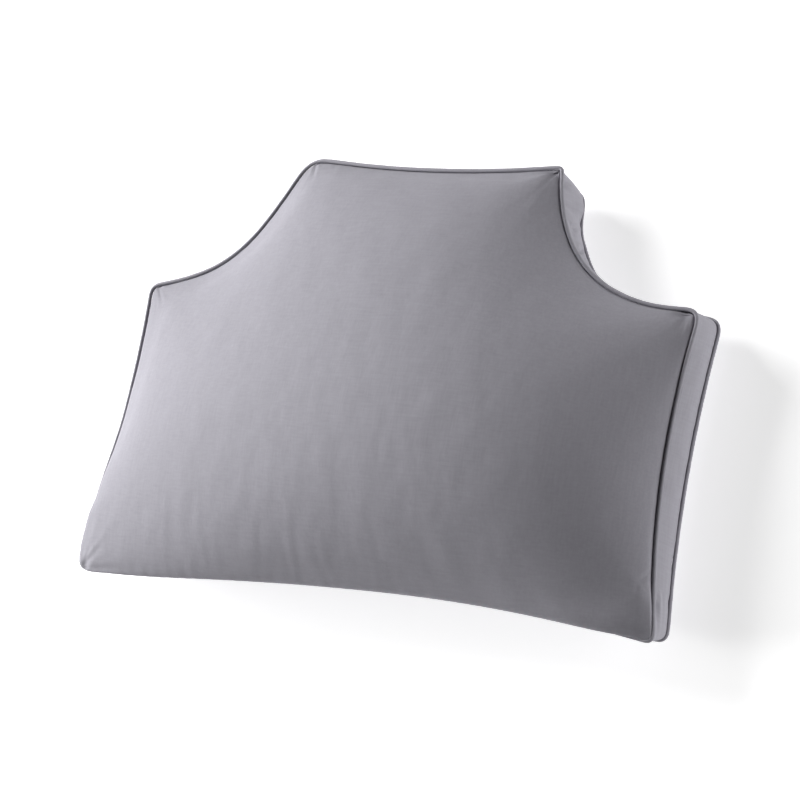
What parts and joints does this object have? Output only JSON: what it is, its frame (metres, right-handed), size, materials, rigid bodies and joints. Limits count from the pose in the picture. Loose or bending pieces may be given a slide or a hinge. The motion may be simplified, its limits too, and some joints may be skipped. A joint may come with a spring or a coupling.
{
  "type": "headboard pillow",
  "caption": "Filled, boxed bed pillow with a headboard outline: straight bottom, two shoulders, hollow necks and a raised middle, with piped seams.",
  "frame": {"origin": "on the resting plane, under the middle of the pillow's box", "axes": "+X along the straight bottom edge to the right as the face is seen, +Y up the face to the raised middle, +Z out of the face; the back rests on z = 0"},
  "size_m": [0.779, 0.5296, 0.166],
  "materials": {
    "panel_cotton": "smooth, closely woven cotton, soft sheen",
    "strip_cotton": "smooth, closely woven cotton, soft sheen",
    "piping_cotton": "the same cotton, cut on the bias over a cord"
  },
  "bodies": {
    "root": {"filled_body": "panel_cotton", "boxing_strip": "strip_cotton", "front_piping": "piping_cotton", "back_piping": "piping_cotton"}
  },
  "joints": []
}
